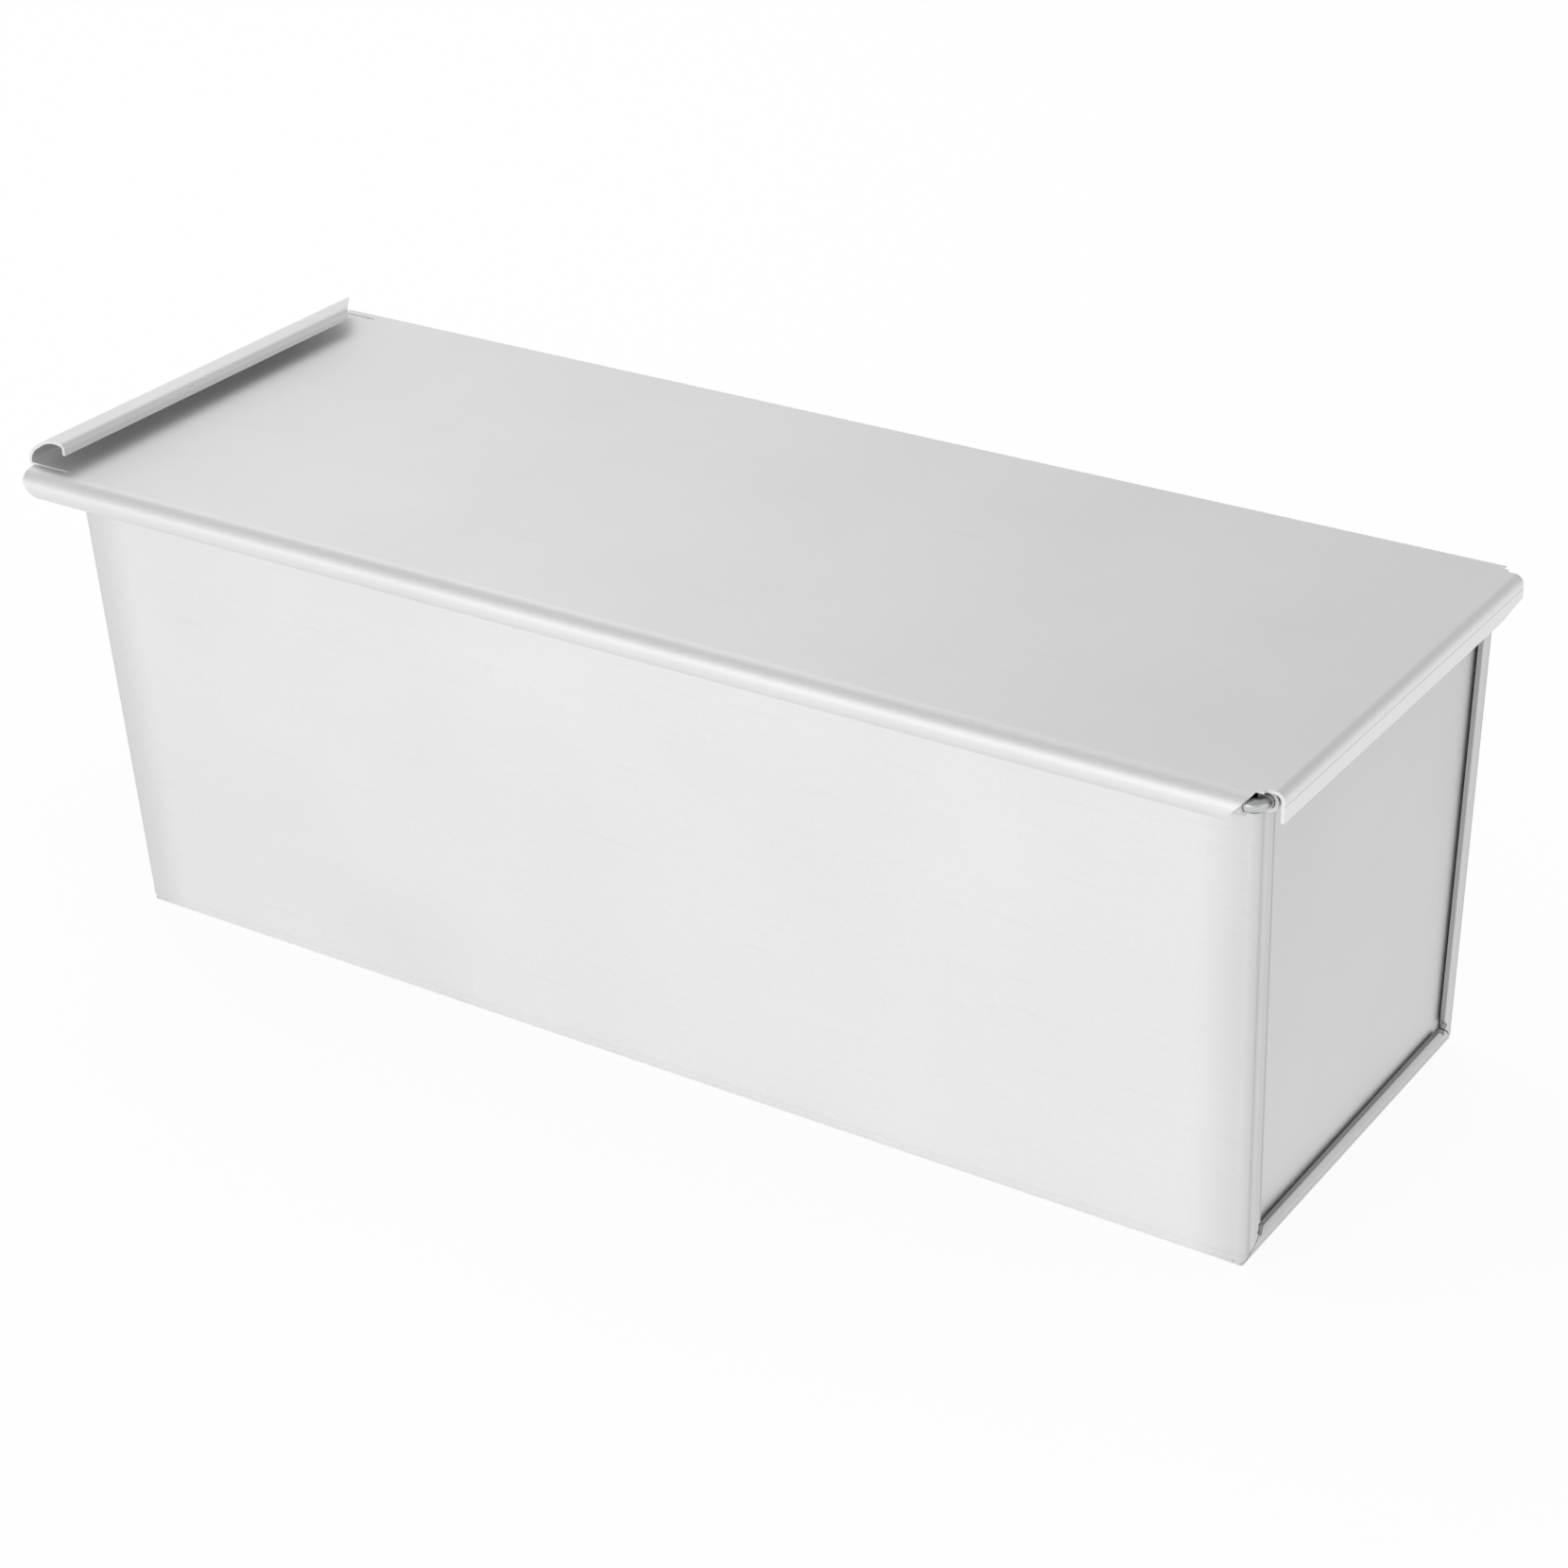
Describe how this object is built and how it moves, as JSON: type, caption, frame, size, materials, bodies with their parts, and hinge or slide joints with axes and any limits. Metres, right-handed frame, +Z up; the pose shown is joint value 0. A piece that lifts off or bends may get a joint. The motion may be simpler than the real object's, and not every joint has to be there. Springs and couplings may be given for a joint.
{
  "type": "pullman loaf pan",
  "caption": "Long straight-sided folded-sheet loaf pan with wired rolled rims, hemmed ends and a flat lid that slides along the rims, with a curled handle and an end flange",
  "frame": {"origin": "middle of the pan's flat bottom, on the surface that it stands on", "axes": "+X runs along the pan towards the lid's flange, the way the lid slides off; +Y runs across the pan; +Z is up"},
  "size_m": [0.2994, 0.1128, 0.1146],
  "materials": {
    "body_sheet": "satin aluminised sheet",
    "end_sheet": "satin aluminised sheet",
    "wire": "drawn steel wire",
    "lid_sheet": "satin aluminised sheet"
  },
  "bodies": {
    "pan": {"body_wrap": "body_sheet", "left_end_plate": "end_sheet", "right_end_plate": "end_sheet", "rim_wire": "wire"},
    "lid": {"lid": "lid_sheet"}
  },
  "joints": [
    {"name": "lid_slide", "type": "slide", "parent": "pan", "child": "lid", "axis": [1, 0, 0], "range_m": [0, 0.3]}
  ]
}
